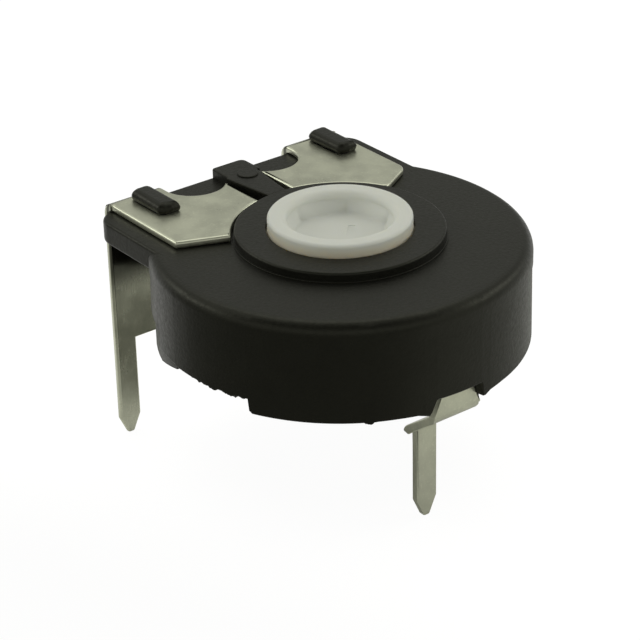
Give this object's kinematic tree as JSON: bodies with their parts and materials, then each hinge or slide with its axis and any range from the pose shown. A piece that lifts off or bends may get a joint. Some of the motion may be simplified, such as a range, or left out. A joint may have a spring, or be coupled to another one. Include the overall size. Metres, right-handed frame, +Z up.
{
  "type": "trimmer potentiometer",
  "caption": "Round open trimmer potentiometer for a through-hole board, with a white rotor turned from above, heat-staked tin-plated end terminals and a bent wiper pin at the front.",
  "frame": {"origin": "where the rotor's axis meets the circuit board's top face, on which the shoulders of the terminals stand", "axes": "+Z up out of the board along the rotor's axis, +Y from the axis to the row of end pins, +X to the right when looking along +Y"},
  "size_m": [0.0144, 0.015, 0.0109],
  "materials": {
    "housing_plastic": "satin black with a fine grain on the top face",
    "cover_plastic": "satin black",
    "rotor_plastic": "smooth white",
    "spring_bronze": "rolled spring strip",
    "laminate": "plain brown paper laminate",
    "carbon_print": "matt printed film",
    "silver_print": "matt printed metal film",
    "tin_plate": "tin-plated sheet with rolled bright edges"
  },
  "bodies": {
    "housing": {"housing": "housing_plastic", "bottom_cover": "cover_plastic", "element_base": "laminate", "carbon_track": "carbon_print", "end_pads": "silver_print", "terminal_left": "tin_plate", "terminal_right": "tin_plate", "wiper_terminal": "tin_plate"},
    "rotor": {"rotor": "rotor_plastic", "wiper_contact": "spring_bronze"}
  },
  "joints": [
    {"name": "rotor_turn", "type": "hinge", "parent": "housing", "child": "rotor", "pos_m": [0, 0, 0.005], "axis": [0, 0, 1], "range_deg": [-87.5, 177.5]}
  ]
}
